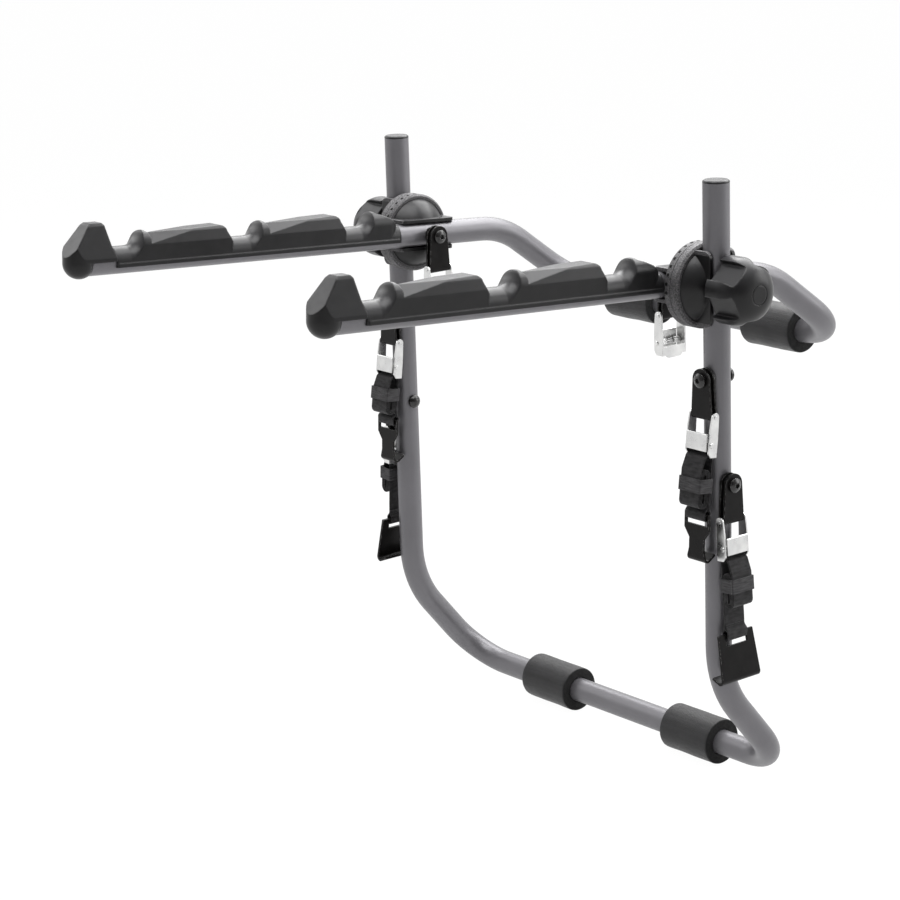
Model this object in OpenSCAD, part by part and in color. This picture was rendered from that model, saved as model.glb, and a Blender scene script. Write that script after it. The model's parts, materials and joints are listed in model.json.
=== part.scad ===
// Trunk mounted bicycle rack: two bent tube frames joined by clamped hubs, with six strap fittings.
// Millimetres. X runs across the vehicle, +Y points to the vehicle and +Z is up.
// The origin is the middle of the lower cross tube, between the two pads that rest on the vehicle.

/* [Lower frame] */
// Outside diameter of the steel tube
tube_d = 25.4; // [24:0.1:28]
// Wall of the steel tube
tube_wall = 1.6; // [1.2:0.1:2.4]
// Distance between the axes of the two posts
post_spacing = 476; // [450:1:560]
// Height of the hub axis above the lower cross tube
hub_height = 496; // [480:1:560]
// Length of the posts above the hub axis
post_top = 98; // [75:1:140]
// Run of the legs towards the vehicle
leg_run = 89; // [85:1:120]
// Tilt of the legs from the vertical
leg_tilt = 40; // [36:1:45]
// Centreline radius of the bends between posts and legs
post_bend_r = 110; // [80:1:115]
// Centreline radius of the lower corners
corner_r = 50; // [40:1:55]

/* [Arm frame] */
// Tilt of the arms, front ends up
arm_tilt = 3.75; // [0:0.25:8]
// Distance from the hub axis back to the bend of the arms
arm_back = 107; // [95:1:130]
// Angle by which the rear of the arms drops
arm_drop = 32; // [22:1:40]
// Length from that bend to the rear cross tube
arm_drop_len = 142; // [138:1:170]
// Centreline radius of that bend
arm_bend_r = 100; // [60:1:110]
// Centreline radius of the rear corners
arm_corner_r = 64; // [48:1:64]

/* [Pads] */
// Outside diameter of the foam pads
pad_d = 48; // [42:1:60]
// Length of the foam pads
pad_len = 68; // [50:1:70]
// Middle of the left lower pad, from the middle of the rack
lower_pad_left_x = 100; // [80:1:120]
// Middle of the right lower pad
lower_pad_right_x = 118; // [80:1:120]
// Middle of the left upper pad
upper_pad_left_x = 104; // [60:1:104]
// Middle of the right upper pad
upper_pad_right_x = 104; // [60:1:104]

/* [Cradles] */
// Distance between neighbouring notches
notch_pitch = 139.5; // [125:0.5:160]
// Distance from the hub axis to the outer foot of the innermost notch
notch_first = 111.5; // [108:0.5:125]
// Length of the flat floor of a notch
notch_w = 21; // [18:1:26]
// Height of the humps above the arm axis
hump_h = 28; // [25:0.5:32]
// Wall of the cradle over the tube
cradle_wall = 1.5; // [1.2:0.1:2]
// Height of the end blocks above the arm axis
block_h = 38.5; // [34:0.5:44]
// Length of the end blocks
block_len = 45.5; // [42:0.5:54]

/* [Hubs and knobs] */
// Diameter of the hub discs
hub_d = 81; // [76:1:90]
// Thickness of each hub disc
hub_rim = 9; // [8:0.5:10]
// Wall between the split face and the tube in each hub half
hub_web = 7.7; // [6:0.1:9]
// Diameter of the dome where it leaves the disc
dome_d = 70; // [64:1:74]
// Height of the dome above the disc
dome_h = 20; // [16:0.5:22]
// Length of the lips beside the tube channel
lip_len = 71; // [66:1:76]
// Thickness of the lips
lip_t = 3.6; // [3:0.1:5]
// Diameter of the knobs
knob_d = 64; // [56:1:72]
// Length of the knobs
knob_len = 40; // [34:1:46]
// Number of lobes on a knob
knob_lobes = 5; // [5:1:7]
// Diameter of the bolts
bolt_d = 8; // [6:0.5:9]

/* [Strap fittings] */
// Depth of the front strap bolts below the hub axis
front_bolt_drop = 85; // [75:1:100]
// Depth of the side strap bolts below the hub axis
side_bolt_drop = 186; // [170:1:200]
// Distance from a bracket's bolt to the bar in its fold
bracket_drop = 34; // [28:1:42]
// Radius of a bracket's round top
bracket_top_r = 11; // [10:0.5:13]
// Thickness of the bracket plate
bracket_t = 1.8; // [1.4:0.1:2.4]
// Width of the buckles
buckle_w = 31; // [28:0.5:34]
// Distance from a buckle's bar to its lower end
buckle_len = 38; // [36:1:44]
// Depth of a buckle's side plates
buckle_depth = 11; // [10:0.5:13]
// Thickness of a buckle's plates
buckle_t = 1.6; // [1.2:0.1:2]
// Diameter of a buckle's bar
bar_d = 3.6; // [3:0.1:4.2]
// Diameter of a cam lever's pin
pin_d = 3; // [2.4:0.1:3.6]

/* [Webbing and hooks] */
// Thickness of the webbing
web_t = 1.3; // [1.1:0.1:1.6]
// Gap between the turns of the rolled webbing
web_gap = 0.5; // [0.45:0.05:0.8]
// Number of turns in each roll
roll_turns = 3; // [2:1:4]
// Depth of the rolls below the buckle: left front strap
roll_front_left = 40; // [32:1:52]
// Depth of the rolls below the buckle: right front strap
roll_front_right = 49; // [32:1:52]
// Depth of the rolls below the buckle: left side strap
roll_side_left = 35; // [32:1:52]
// Depth of the rolls below the buckle: right side strap
roll_side_right = 46; // [32:1:52]
// Free webbing above the left front hook
free_front_left = 9; // [9:0.5:20]
// Free webbing above the right front hook
free_front_right = 9.5; // [9:0.5:20]
// Free webbing above the left side hook
free_side_left = 32; // [20:1:38]
// Free webbing above the right side hook
free_side_right = 30; // [20:1:38]
// Thickness of the hook plates
hook_t = 2.4; // [2:0.1:3]
// Height of a hook below its slot
hook_h = 39.5; // [34:0.5:46]
// Width of the wide hooks of the side straps
wide_hook_w = 48; // [40:1:54]
// Width of the neck of the narrow hooks
hook_neck_w = 19; // [15:0.5:22]

/* [Hidden] */
$fn = 64;
left = -1;
right = 1;
far = 400;
TOP = 0;
FRONT = 1;
SIDE = 2;

// Clearances: seats that stay put, parts that turn, faces that pass each other
seat_fit = 0.1;
pad_fit = 0.3;
turn_fit = 0.1;
face_gap = 0.3;

tube_r = tube_d / 2;
bend_lap = 0.5;
bend_slack = 0.02;
bore_d = tube_d - 2 * tube_wall;
bolt_hole_d = bolt_d + 2 * turn_fit;

// Lower frame
leg_len = leg_run / sin(leg_tilt);
leg_drop = leg_run / tan(leg_tilt);
post_tangent = post_bend_r * tan(leg_tilt / 2);
hub_at = [0, -leg_run, hub_height];

// Hub stack: arm tube, inner half, outer half, post
hub_gap = 0.3;
tube_off = tube_r + hub_web + hub_gap / 2;
arm_spacing = post_spacing - 2 * tube_off * 2;
lip_top = tube_off + 8;
lip_r = 7;
dome_r = (pow(dome_d / 2, 2) + pow(dome_h, 2)) / (2 * dome_h);

// Arm frame
arm_tangent = arm_bend_r * tan(arm_drop / 2);
notch_last = notch_first + 2 * notch_pitch;
nose_r = tube_r + 2.8;
nose_s = notch_last + block_len - nose_r;
tube_front = nose_s + 4;
cradle_start = max(lip_len, hub_d) / 2 + 0.5;
cradle_end = notch_last - 4.5;
rear_bar = [0, arm_back + arm_drop_len * cos(arm_drop), -arm_drop_len * sin(arm_drop)];

// Cradle section and humps
cradle_r = tube_r + cradle_wall;
cradle_skirt = 5;
cradle_lip = 0.8;
hump_r = 4;
scoop_r = 16;
floor_h = cradle_r;
hump_rise = (hump_h - hump_r) - (floor_h + scoop_r);
hump_t = notch_w + sqrt(pow(hump_r + scoop_r, 2) - pow(hump_rise, 2));
ridge_h = hump_h - 2.8;
wedge_r = 7;
wedge_t = notch_pitch - 14;
bevel_t = hump_t + 20;
bevel_h = 18.5;

// Fittings on the bolts
spacer_t = 0.9;
knob_extra = 1.8;
top_extra = 4.3;
spacer_d = 2 * bolt_d;
fold_gap = bar_d + 2 * face_gap;
fold_w = fold_gap + 2 * bracket_t;
fold_r = (fold_gap + bracket_t) / 2;
bracket_y = tube_r + spacer_t;
bar_y = bracket_y + fold_w / 2;
head_d = 1.75 * bolt_d;
head_h = 0.6 * bolt_d;
socket_d = 0.7 * bolt_d;
nut_h = 0.8 * bolt_d;
knob_base = tube_r + spacer_t + knob_extra + face_gap;
bolt_in_knob = 0.6 * knob_len;

// Buckles and levers
side_gap = 0.6;
buckle_inner = buckle_w - 2 * buckle_t;
bracket_foot_w = buckle_inner - 2 * side_gap;
lever_w = buckle_inner - 2 * side_gap;
base_t = 1.4;
base_h = 8.5;
tab_w = 0.74 * buckle_inner;
tab_h = 2.6;
tab_r = 4;
cam_r = 3.4;
lever_t = 1.6;
lever_reach = 9.5;
lever_low = 6;
spring_room = 10;
strap_y = -buckle_depth / 2 + base_t + 0.2 + web_t / 2;
tail_y = strap_y + web_t - 0.05;
pin_y = tail_y + web_t / 2 + face_gap + cam_r;
pin_z = -0.69 * buckle_len;
web_top = pin_z + 1.2;
tail_bend = pin_z - lever_low - 0.3;
tail_out = 6;

// Webbing rolls and hooks
web_w = buckle_inner - 1.8;
roll_pitch = web_t + web_gap;
roll_core = 1.1;
roll_lead = 17;
roll_rear = roll_core + (roll_turns - 1) * roll_pitch;
roll_front = roll_core + roll_turns * roll_pitch;
roll_y = strap_y + web_t + web_gap + roll_rear;
roll_low = roll_front - roll_pitch / 2 + web_t / 2;
band_t = 1.2;
band_h = 13.5;
band_up = 15;
loop_r = 1.5 + web_t;
loop_wide = loop_r + 0.9;
loop_h = 10;
sewn_h = 3;
hook_bar = 5;
hook_slot = 6.5;
hook_slot_w = web_w + 1.5;
hook_top_w = hook_slot_w + 5;
hook_bend_r = 3.6;
hook_turn = 124;
hook_leg = 9;
strap_lean = [0, 7.5, 4];
hook_lean = [0, -5, 7];

// Every strap fitting: name, side, place, depth of its roll, free webbing above its hook
STRAPS = [
    ["top_left", left, TOP, 0, 0],
    ["top_right", right, TOP, 0, 0],
    ["front_left", left, FRONT, roll_front_left, free_front_left],
    ["front_right", right, FRONT, roll_front_right, free_front_right],
    ["side_left", left, SIDE, roll_side_left, free_side_left],
    ["side_right", right, SIDE, roll_side_right, free_side_right]
];
WEBBED = [for (s = STRAPS) if (s[2] != TOP) s];
FIXED = ["lower_frame", "post_cap_left", "post_cap_right", "lower_pad_left", "lower_pad_right",
    "hub_outer_left", "hub_outer_right", "hub_bolts", "knob_saddles", "strap_bolts", "strap_nuts",
    "strap_spacers", "arm_frame", "cradle_left", "cradle_right", "end_block_left", "end_block_right",
    "upper_pad_left", "upper_pad_right", "hub_inner_left", "hub_inner_right", "hub_spacers",
    "knob_left", "knob_right"];

// Colours
paint = "#7d7f82";
moulding = "#2e2e30";
foam = "#262628";
zinc = "#c9cacb";
black_steel = "#1f1d1d";
textile = "#222224";
elastic = "#3a3a3c";

// Places

module on_arms() translate(hub_at) rotate([-arm_tilt, 0, 0]) children();

module mirrored(side) mirror([side == left ? 1 : 0, 0, 0]) children();

function strap_origin(s) =
    s[2] == TOP ? hub_at + [s[1] * (arm_spacing / 2 - top_extra), 0, 0] :
    hub_at + [s[1] * post_spacing / 2, 0, -(s[2] == FRONT ? front_bolt_drop : side_bolt_drop)];

// Local +Y points away from the tube: to the middle, to the front or to the outer side
function strap_turn(s) = s[2] == FRONT ? 180 : s[2] == TOP ? s[1] * 90 : -s[1] * 90;

module at_bolt(s) translate(strap_origin(s)) rotate([0, 0, strap_turn(s)]) children();

module at_bar(s) at_bolt(s) translate([0, bar_y, -bracket_drop]) rotate([strap_lean[s[2]], 0, 0])
    children();

function hook_z(s) = -(buckle_len + s[3] + s[4]);

module at_hook(s) at_bar(s) translate([0, strap_y, hook_z(s)]) rotate([hook_lean[s[2]], 0, 0]) children();

// A section drawn in Y and Z, pushed both ways along X
module across(w) rotate([90, 0, 90]) linear_extrude(height = w, center = true) children();

// A section drawn in X and Z, pushed from y towards -Y
module forward(y, len) translate([0, y, 0]) rotate([90, 0, 0]) linear_extrude(height = len) children();

// Tube along a list of [bend radius, bend angle, roll before the bend, straight length after it]
// The straights lap over the ends of the bends, which are a hair thinner
module tube_walk(steps, d, i = 0) {
    if (i < len(steps)) {
        r = steps[i][0];
        a = steps[i][1];
        run = steps[i][3];
        rotate([0, 0, steps[i][2]]) {
            translate([r, 0, 0]) rotate([90, 0, 180]) rotate_extrude(angle = a)
                translate([r, 0]) circle(d = d - bend_slack);
            translate([r * (1 - cos(a)), 0, r * sin(a)]) rotate([0, a, 0]) {
                translate([0, 0, -bend_lap])
                    cylinder(d = d, h = run + (i < len(steps) - 1 ? 2 : 1) * bend_lap);
                translate([0, 0, run]) tube_walk(steps, d, i + 1);
            }
        }
    }
}

// Lower frame

module lower_tube(d, over) {
    half = post_spacing / 2 - corner_r;
    rotate([0, 90, 0]) cylinder(d = d, h = 2 * (half + bend_lap), center = true);
    for (side = [left, right]) mirrored(side) translate([half, 0, 0])
        rotate([180 + leg_tilt, 0, 0]) rotate([0, 90, 0]) tube_walk([
            [corner_r, 90, 0, leg_len - corner_r - post_tangent],
            [post_bend_r, leg_tilt, -90, hub_height + post_top - leg_drop - post_tangent + over]
        ], d);
}

module lower_frame() color(paint) difference() {
    lower_tube(tube_d, 0);
    lower_tube(bore_d, 1);
    for (s = WEBBED) at_bolt(s) rotate([90, 0, 0]) cylinder(d = bolt_hole_d, h = 2 * tube_d, center = true);
    translate(hub_at) rotate([0, 90, 0]) cylinder(d = bolt_hole_d, h = 2 * post_spacing, center = true);
}

module post_cap(side) color(moulding)
    translate(hub_at + [side * post_spacing / 2, 0, post_top]) {
        translate([0, 0, -14]) cylinder(d = bore_d - 2 * seat_fit, h = 14);
        cylinder(d = tube_d, h = 1.4);
        translate([0, 0, 1.4]) cylinder(d1 = tube_d, d2 = tube_d - 3, h = 1.2);
    }

module pad(x) color(foam) translate([x, 0, 0]) rotate([0, 90, 0]) difference() {
    cylinder(d = pad_d, h = pad_len, center = true);
    cylinder(d = tube_d + 2 * pad_fit, h = 2 * pad_len, center = true);
}

// Hubs

// Half of a hub: split face near Z 0, tube along Y on the +Z side
module hub_half() color(moulding) difference() {
    union() {
        translate([0, 0, hub_gap / 2]) cylinder(d1 = hub_d - 0.6, d2 = hub_d, h = 0.3);
        translate([0, 0, hub_gap / 2 + 0.3]) cylinder(d = hub_d, h = hub_rim - 2.3);
        translate([0, 0, hub_gap / 2 + hub_rim - 2]) cylinder(d1 = hub_d, d2 = hub_d - 4, h = 2);
        rotate_extrude() intersection() {
            translate([0, hub_rim + dome_h - dome_r]) circle(r = dome_r);
            translate([0, hub_rim - 1]) square([dome_d / 2, 2 * dome_h]);
        }
        for (x = [-1, 1]) translate([x * (tube_r + seat_fit + lip_t / 2), 0, 0]) across(lip_t) {
            translate([-lip_len / 2, 4]) square([lip_len, lip_top - lip_r - 4]);
            translate([lip_r - lip_len / 2, 4]) square([lip_len - 2 * lip_r, lip_top - 4]);
            for (y = [-1, 1]) translate([y * (lip_len / 2 - lip_r), lip_top - lip_r]) circle(r = lip_r);
        }
    }
    translate([0, 0, tube_off]) {
        rotate([90, 0, 0]) cylinder(d = tube_d + 2 * seat_fit, h = 2 * hub_d, center = true);
        translate([-tube_r - seat_fit, -hub_d, 0]) cube([tube_d + 2 * seat_fit, 2 * hub_d, hub_d]);
    }
    cylinder(d = bolt_hole_d, h = 2 * hub_d, center = true);
}

module hub_outer(side) mirrored(side) translate(hub_at + [post_spacing / 2 - tube_off, 0, 0])
    rotate([90, 0, 90]) hub_half();

module hub_inner(side) on_arms() mirrored(side) translate([arm_spacing / 2 + tube_off, 0, 0])
    rotate([0, -90, 0]) hub_half();

// Domed head with a socket, its flat face on Z 0
module bolt_head() difference() {
    intersection() {
        cylinder(d = head_d, h = head_h);
        translate([0, 0, head_h - 0.75 * head_d]) sphere(d = 1.5 * head_d);
    }
    translate([0, 0, head_h / 2]) cylinder(d = socket_d, h = head_h, $fn = 6);
}

module hub_bolts() color(black_steel) for (s = STRAPS) if (s[2] == TOP) at_bolt(s)
    rotate([-90, 0, 0]) translate([0, 0, bar_y + fold_w / 2 + face_gap]) {
        bolt_head();
        shank = bar_y + fold_w / 2 + face_gap + top_extra + 2 * tube_off + knob_base + bolt_in_knob;
        translate([0, 0, -shank]) cylinder(d = bolt_d, h = shank);
    }

// Saddle washer: its hollow face lies on a tube along Z, the other face is at the end of the spacer
module saddle(extra = 0) difference() {
    rotate([-90, 0, 0]) cylinder(d = spacer_d, h = bracket_y + extra - face_gap / 3);
    cylinder(d = tube_d + 2 * seat_fit, h = far, center = true);
    rotate([-90, 0, 0]) cylinder(d = bolt_hole_d, h = far, center = true);
}

module hub_spacers() color(black_steel) on_arms() for (side = [left, right])
    translate([side * arm_spacing / 2, 0, 0]) rotate([0, 0, side * 90]) rotate([0, 90, 0])
    saddle(top_extra);

module knob_saddles() color(black_steel) for (side = [left, right])
    translate(hub_at + [side * post_spacing / 2, 0, 0]) rotate([0, 0, -side * 90]) saddle(knob_extra);

module knob(side) color(moulding) mirrored(side)
    translate(hub_at + [post_spacing / 2 + knob_base, 0, 0]) rotate([0, 90, 0]) difference() {
        round_r = 0.6 * knob_len;
        pocket_w = 0.36 * knob_d;
        pocket_len = 0.82 * knob_len;
        pocket_turn = 7;
        pocket_r = 4;
        rotate_extrude() {
            square([knob_d / 2 - 1, knob_len - round_r]);
            translate([0, 1]) square([knob_d / 2, knob_len - round_r - 1]);
            square([knob_d / 2 - round_r, knob_len]);
            intersection() {
                translate([knob_d / 2 - round_r, knob_len - round_r]) circle(r = round_r);
                square([knob_d / 2, knob_len]);
            }
        }
        for (i = [0 : knob_lobes - 1]) rotate([0, 0, i * 360 / knob_lobes + pocket_turn])
            translate([0.38 * knob_d, 0, 0]) rotate([90, 0, 90]) linear_extrude(height = knob_d) {
                translate([-pocket_w / 2, -1]) square([pocket_w, pocket_len - pocket_r + 1]);
                translate([-pocket_w / 2 + pocket_r, -1]) square([pocket_w - 2 * pocket_r, pocket_len + 1]);
                for (x = [-1, 1]) translate([x * (pocket_w / 2 - pocket_r), pocket_len - pocket_r])
                    circle(r = pocket_r);
            }
        translate([0, 0, -1]) cylinder(d = bolt_hole_d, h = bolt_in_knob + 2);
        translate([0, 0, knob_len - 0.6]) difference() {
            cylinder(r = 0.15 * knob_d, h = 2);
            cylinder(r = 0.15 * knob_d - 0.8, h = 5, center = true);
        }
    }

// Arm frame

module arm_tube(d, over) translate(rear_bar) {
    half = arm_spacing / 2 - arm_corner_r;
    rotate([0, 90, 0]) cylinder(d = d, h = 2 * (half + bend_lap), center = true);
    for (side = [left, right]) mirrored(side) translate([half, 0, 0])
        rotate([270 - arm_drop, 0, 0]) rotate([0, 90, 0]) tube_walk([
            [arm_corner_r, 90, 0, arm_drop_len - arm_corner_r - arm_tangent],
            [arm_bend_r, arm_drop, 90, arm_back - arm_tangent + tube_front + over]
        ], d);
}

module arm_frame() color(paint) on_arms() difference() {
    arm_tube(tube_d, 0);
    arm_tube(bore_d, 1);
    rotate([0, 90, 0]) cylinder(d = bolt_hole_d, h = 2 * post_spacing, center = true);
}

// Cradle pieces are drawn from a notch's outer foot, with the hub in the +Y direction

// Cross-section as high as top whose upper corners have radius r
module arch(top, r) {
    translate([-cradle_r, 0]) square([2 * cradle_r, top - r]);
    translate([-cradle_r + r, 0]) square([2 * (cradle_r - r), top]);
    for (x = [-1, 1]) translate([x * (cradle_r - r), top - r]) circle(r = r);
}

// Hump turned about the arm's axis, with a hollow face towards its notch, cut to the arch
module hump() intersection() {
    rotate([-90, 0, 0]) rotate_extrude() difference() {
        union() {
            polygon([[0, notch_w], [0, hump_t + hump_r], [hump_h - hump_r, hump_t + hump_r],
                [hump_h - hump_r, hump_t], [floor_h + scoop_r, notch_w]]);
            translate([hump_h - hump_r, hump_t]) circle(r = hump_r);
        }
        translate([floor_h + scoop_r, notch_w]) circle(r = scoop_r);
    }
    forward(notch_pitch, notch_pitch) arch(hump_h, cradle_r - 0.1);
}

// Long ramp from a hump to the next notch, its edges bevelled at the low end
module ramp() difference() {
    intersection() {
        across(2 * cradle_r) {
            polygon([[hump_t, 0], [notch_pitch - 1, 0], [notch_pitch - 1, floor_h - 3],
                [wedge_t + wedge_r, hump_h - wedge_r + 1], [wedge_t, hump_h - wedge_r],
                [wedge_t, hump_h], [hump_t + 4, ridge_h], [hump_t, ridge_h]]);
            translate([wedge_t, hump_h - wedge_r]) circle(r = wedge_r);
        }
        forward(notch_pitch, notch_pitch) polygon([[-cradle_r, 0], [cradle_r, 0], [cradle_r, 15],
            [cradle_r - 2.5, hump_h - 3], [cradle_r - 5, hump_h], [5 - cradle_r, hump_h],
            [2.5 - cradle_r, hump_h - 3], [-cradle_r, 15]]);
    }
    bevel_rise = atan((hump_h - bevel_h) / (wedge_t - 8 - bevel_t));
    for (x = [0, 1]) mirror([x, 0, 0]) translate([cradle_r, bevel_t, bevel_h]) rotate([bevel_rise, 0, 0])
        rotate([0, 32, 0]) translate([-notch_pitch, -notch_pitch / 2, 0])
        cube([2 * notch_pitch, 2 * notch_pitch, hump_h]);
}

// Slope from the innermost hump down to the end of the cradle
module tail() intersection() {
    tail_end = notch_first - cradle_start;
    across(2 * cradle_r) polygon([[hump_t, 0], [tail_end, 0], [tail_end, 3], [tail_end - 2, 9],
        [tail_end - 6, 15], [tail_end - 13, 21], [hump_t + 8, hump_h - 3], [hump_t, hump_h - 1]]);
    forward(notch_pitch, notch_pitch) arch(hump_h, cradle_r - 0.1);
    linear_extrude(height = notch_pitch) {
        translate([-cradle_r, 0]) square([2 * cradle_r, tail_end - cradle_r + 1]);
        translate([0, tail_end - cradle_r]) circle(r = cradle_r);
    }
}

module cradle(side) color(moulding) on_arms() translate([side * arm_spacing / 2, 0, 0]) difference() {
    union() {
        forward(-cradle_start, cradle_end - cradle_start) {
            intersection() {
                circle(r = cradle_r);
                translate([-cradle_r, 0]) square(2 * cradle_r);
            }
            translate([-cradle_r, -cradle_skirt]) square([2 * cradle_r, cradle_skirt]);
        }
        forward(-cradle_start - 2, cradle_end - cradle_start - 4)
            translate([-cradle_r - cradle_lip, -cradle_skirt])
            square([2 * (cradle_r + cradle_lip), cradle_skirt - 1]);
        for (k = [0 : 2]) translate([0, -notch_first - k * notch_pitch, 0]) {
            hump();
            if (k > 0) ramp();
            else tail();
        }
    }
    rotate([90, 0, 0]) cylinder(d = tube_d + 2 * seat_fit, h = 2 * far);
    translate([-tube_r, -2 * far, -tube_d - cradle_skirt]) cube([tube_d, 2 * far, tube_d]);
}

// End block: a tapered stop above the arm and a round nose over the tube's end
module end_block(side) color(moulding) on_arms() translate([side * arm_spacing / 2, -notch_last, 0]) {
    foot = 4.5 - face_gap;
    low = 1.5;
    tip = -block_len + nose_r;
    nose_h = 0.7;
    difference() {
        union() {
            intersection() {
                across(2 * nose_r) polygon([[foot, low], [foot, 6], [-0.5, 16], [-6, block_h - 2],
                    [-8, block_h], [tip + 9, block_h], [tip + 6.5, block_h - 2], [tip - nose_r, 7],
                    [tip - nose_r, nose_h], [tip, nose_h], [tip, low]]);
                forward(2 * foot, 2 * block_len) polygon([[-nose_r, 0], [nose_r, 0], [nose_r, 5],
                    [8, block_h - 3], [6, block_h], [-6, block_h], [-8, block_h - 3], [-nose_r, 5]]);
                linear_extrude(height = 2 * block_h) {
                    translate([-nose_r, tip]) square([2 * nose_r, 2 * block_len]);
                    translate([0, tip]) circle(r = nose_r);
                }
            }
            translate([0, tip, nose_h]) sphere(r = nose_r);
        }
        translate([0, notch_last - tube_front - seat_fit, 0]) rotate([-90, 0, 0])
            cylinder(d = tube_d + 2 * seat_fit, h = far);
    }
}

// Strap fittings: local +Y points away from the tube, X runs across the strap

module bracket(s) color(black_steel) at_bolt(s) {
    low = bracket_drop + fold_w / 2;
    difference() {
        intersection() {
            across(2 * buckle_w) polygon(ribbon(concat(
                [[bar_y - fold_r, 2 * bracket_top_r]],
                curve([bar_y, -bracket_drop], fold_r, 180, 360, 16),
                [[bar_y + fold_r, 2 * bracket_top_r]]), bracket_t));
            forward(far, 2 * far) polygon(concat(curve([0, 0], bracket_top_r, 0, 180, 24),
                [[-bracket_foot_w / 2, -low], [bracket_foot_w / 2, -low]]));
        }
        rotate([90, 0, 0]) cylinder(d = bolt_hole_d, h = far, center = true);
    }
}

module strap_bolts() color(black_steel) for (s = WEBBED) at_bolt(s) rotate([-90, 0, 0]) {
    seat = bar_y + fold_w / 2 + face_gap;
    translate([0, 0, seat]) bolt_head();
    translate([0, 0, -tube_r - nut_h / 2]) cylinder(d = bolt_d, h = seat + tube_r + nut_h / 2);
}

module strap_nuts() color(black_steel) for (s = WEBBED) at_bolt(s) rotate([90, 0, 0])
    translate([0, 0, tube_r + seat_fit]) difference() {
        intersection() {
            cylinder(d = head_d, h = nut_h);
            translate([0, 0, nut_h - 0.6 * head_d]) sphere(d = 1.2 * head_d);
        }
        translate([0, 0, -1]) cylinder(d = bolt_hole_d, h = nut_h / 2 + 1 + seat_fit);
    }

module strap_spacers() color(black_steel) for (s = WEBBED) at_bolt(s) saddle();

module buckle(s) color(zinc) at_bar(s) {
    difference() {
        for (x = [-1, 1]) translate([x * (buckle_w - buckle_t) / 2, 0, 0]) across(buckle_t) {
            circle(d = bar_d + 5.2);
            polygon([[-bar_d / 2 - 2.6, 0], [bar_d / 2 + 2.6, 0], [buckle_depth / 2, -12],
                [buckle_depth / 2, 4 - buckle_len], [buckle_depth / 2 - 3, -buckle_len],
                [-buckle_depth / 2, -buckle_len], [-buckle_depth / 2, -20]]);
        }
        translate([0, pin_y, pin_z]) rotate([0, 90, 0])
            cylinder(d = pin_d + 2 * turn_fit, h = far, center = true);
    }
    forward(base_t - buckle_depth / 2, base_t) {
        translate([-buckle_w / 2, -buckle_len]) square([buckle_w, base_h]);
        translate([tab_r - tab_w / 2, -buckle_len - tab_h]) square([tab_w - 2 * tab_r, base_h]);
        for (x = [-1, 1]) translate([x * (tab_w / 2 - tab_r), tab_r - tab_h - buckle_len]) circle(r = tab_r);
    }
    rotate([0, 90, 0]) cylinder(d = bar_d, h = buckle_w + 1.6, center = true);
}

module lever(s) color(zinc) at_bar(s) translate([0, pin_y, pin_z]) {
    plate_y = cam_r - 0.2;
    difference() {
        across(lever_w) {
            circle(r = cam_r - 0.4);
            for (i = [0 : 4]) rotate(152 + 14 * i) translate([cam_r - 0.7, 0])
                polygon([[0, -0.6], [0.7, 0], [0, 0.6]]);
            translate([0, -2.5]) square([plate_y + lever_t / 2, 5]);
            translate([plate_y, -lever_low]) square([lever_t, lever_reach + lever_low]);
            translate([plate_y + lever_t / 2, lever_reach]) circle(d = lever_t + 0.8);
        }
        rotate([0, 90, 0]) cylinder(d = pin_d + 2 * turn_fit, h = far, center = true);
        translate([-spring_room / 2, plate_y - far, -far / 2]) cube([spring_room, far, far]);
    }
}

module pin(s) color(zinc) at_bar(s) translate([0, pin_y, pin_z]) rotate([0, 90, 0]) {
    cylinder(d = pin_d, h = buckle_w + 2, center = true);
    for (z = [0, 1]) mirror([0, 0, z]) translate([0, 0, buckle_w / 2 + seat_fit])
        cylinder(d1 = pin_d + 2.2, d2 = pin_d + 1, h = 1);
}

// Webbing: centre lines in the plane across the strap, Y away from the tube and Z up, from the bar

function curve(c, r, from, to, n) =
    [for (i = [0 : n]) let (a = from + (to - from) * i / n) c + r * [cos(a), sin(a)]];

function side_of(p, i) = let (d = p[min(i + 1, len(p) - 1)] - p[max(i - 1, 0)]) [-d[1], d[0]] / norm(d);

function ribbon(p, t) = concat(
    [for (i = [0 : len(p) - 1]) p[i] + t / 2 * side_of(p, i)],
    [for (i = [len(p) - 1 : -1 : 0]) p[i] - t / 2 * side_of(p, i)]);

// Spare length: two-centre spiral of flat turns, then up its front into the buckle
function roll_path(depth) =
    let (zt = -buckle_len - roll_lead, zb = roll_low - buckle_len - depth)
    concat(
        [for (k = [0 : roll_turns - 1]) each concat(
            curve([roll_y, zt], roll_core + k * roll_pitch, 0, 180, 8),
            curve([roll_y + roll_pitch / 2, zb], roll_core + (k + 0.5) * roll_pitch, 180, 360, 8))],
        [[roll_y + roll_front, zt + 4]],
        [for (u = [0 : 0.125 : 1])
            [tail_out + (tail_y - tail_out) * (1 - cos(180 * u)) / 2, tail_bend - 7 * (1 - u)]],
        [[tail_y, web_top]]);

// Loaded length: straight from the buckle to the loop round the hook's bar
function loop_path(z) = concat(
    [[strap_y, web_top], [strap_y, z + loop_h], [strap_y + loop_wide, z + hook_bar]],
    curve([strap_y, z], loop_r, 0, -180, 10),
    [[strap_y - loop_wide, z + hook_bar], [strap_y - web_t / 2, z + loop_h - 2.5]]);

function sewn_path(z) = let (y = strap_y - web_t + 0.1) [[y, z + loop_h - 2], [y, z + loop_h + sewn_h]];

// Least distance between points of a roll that lie at least one half turn apart
function roll_clear(p) =
    min([for (i = [0 : len(p) - 1]) for (j = [i + 10 : 1 : len(p) - 1]) norm(p[i] - p[j])]);
echo(least_gap_in_rolls = min([for (s = WEBBED) roll_clear(roll_path(s[3]))]) - web_t);

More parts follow.
